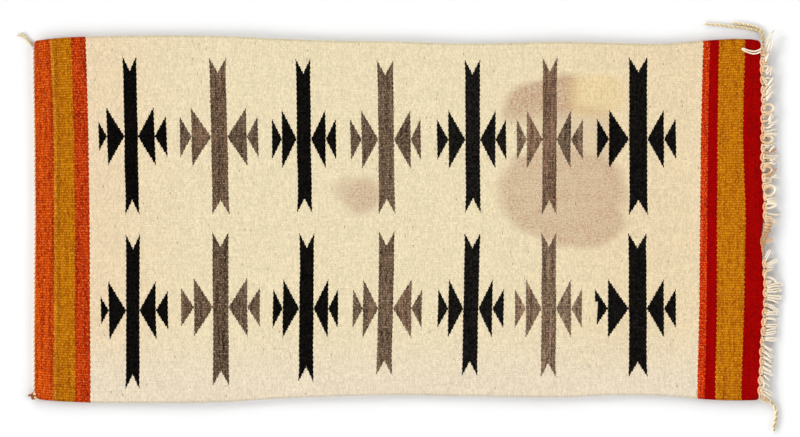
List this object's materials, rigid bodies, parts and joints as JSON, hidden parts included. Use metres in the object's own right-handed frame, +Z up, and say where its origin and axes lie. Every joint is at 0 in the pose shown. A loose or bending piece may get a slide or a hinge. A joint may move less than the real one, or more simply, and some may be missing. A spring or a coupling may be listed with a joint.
{
  "type": "navajo rug",
  "caption": "Small flat-woven wool throw rug with striped ends, rows of bar-and-triangle figures, a knotted warp fringe and loose corner cords.",
  "frame": {"origin": "middle of the woven panel, on its underside, where it rests on the floor", "axes": "+X along the warp towards the fringed end, +Y across the rug, +Z up out of the face that shows"},
  "size_m": [0.9526, 0.5119, 0.0049],
  "materials": {
    "woven_wool": "matte weft-faced tapestry weave",
    "end_cord_yarn": "matte twined yarn",
    "warp_cotton": "matte cotton string",
    "gold_yarn": "matte two-ply wool"
  },
  "bodies": {
    "root": {"panel": "woven_wool", "end_cord": "end_cord_yarn", "end_cord_tail": "gold_yarn", "end_cord_knot": "end_cord_yarn", "fringe": "warp_cotton", "warp_loop": "warp_cotton", "side_cord_long": "gold_yarn", "side_cord_short": "gold_yarn", "side_cord_front": "gold_yarn"}
  },
  "joints": []
}
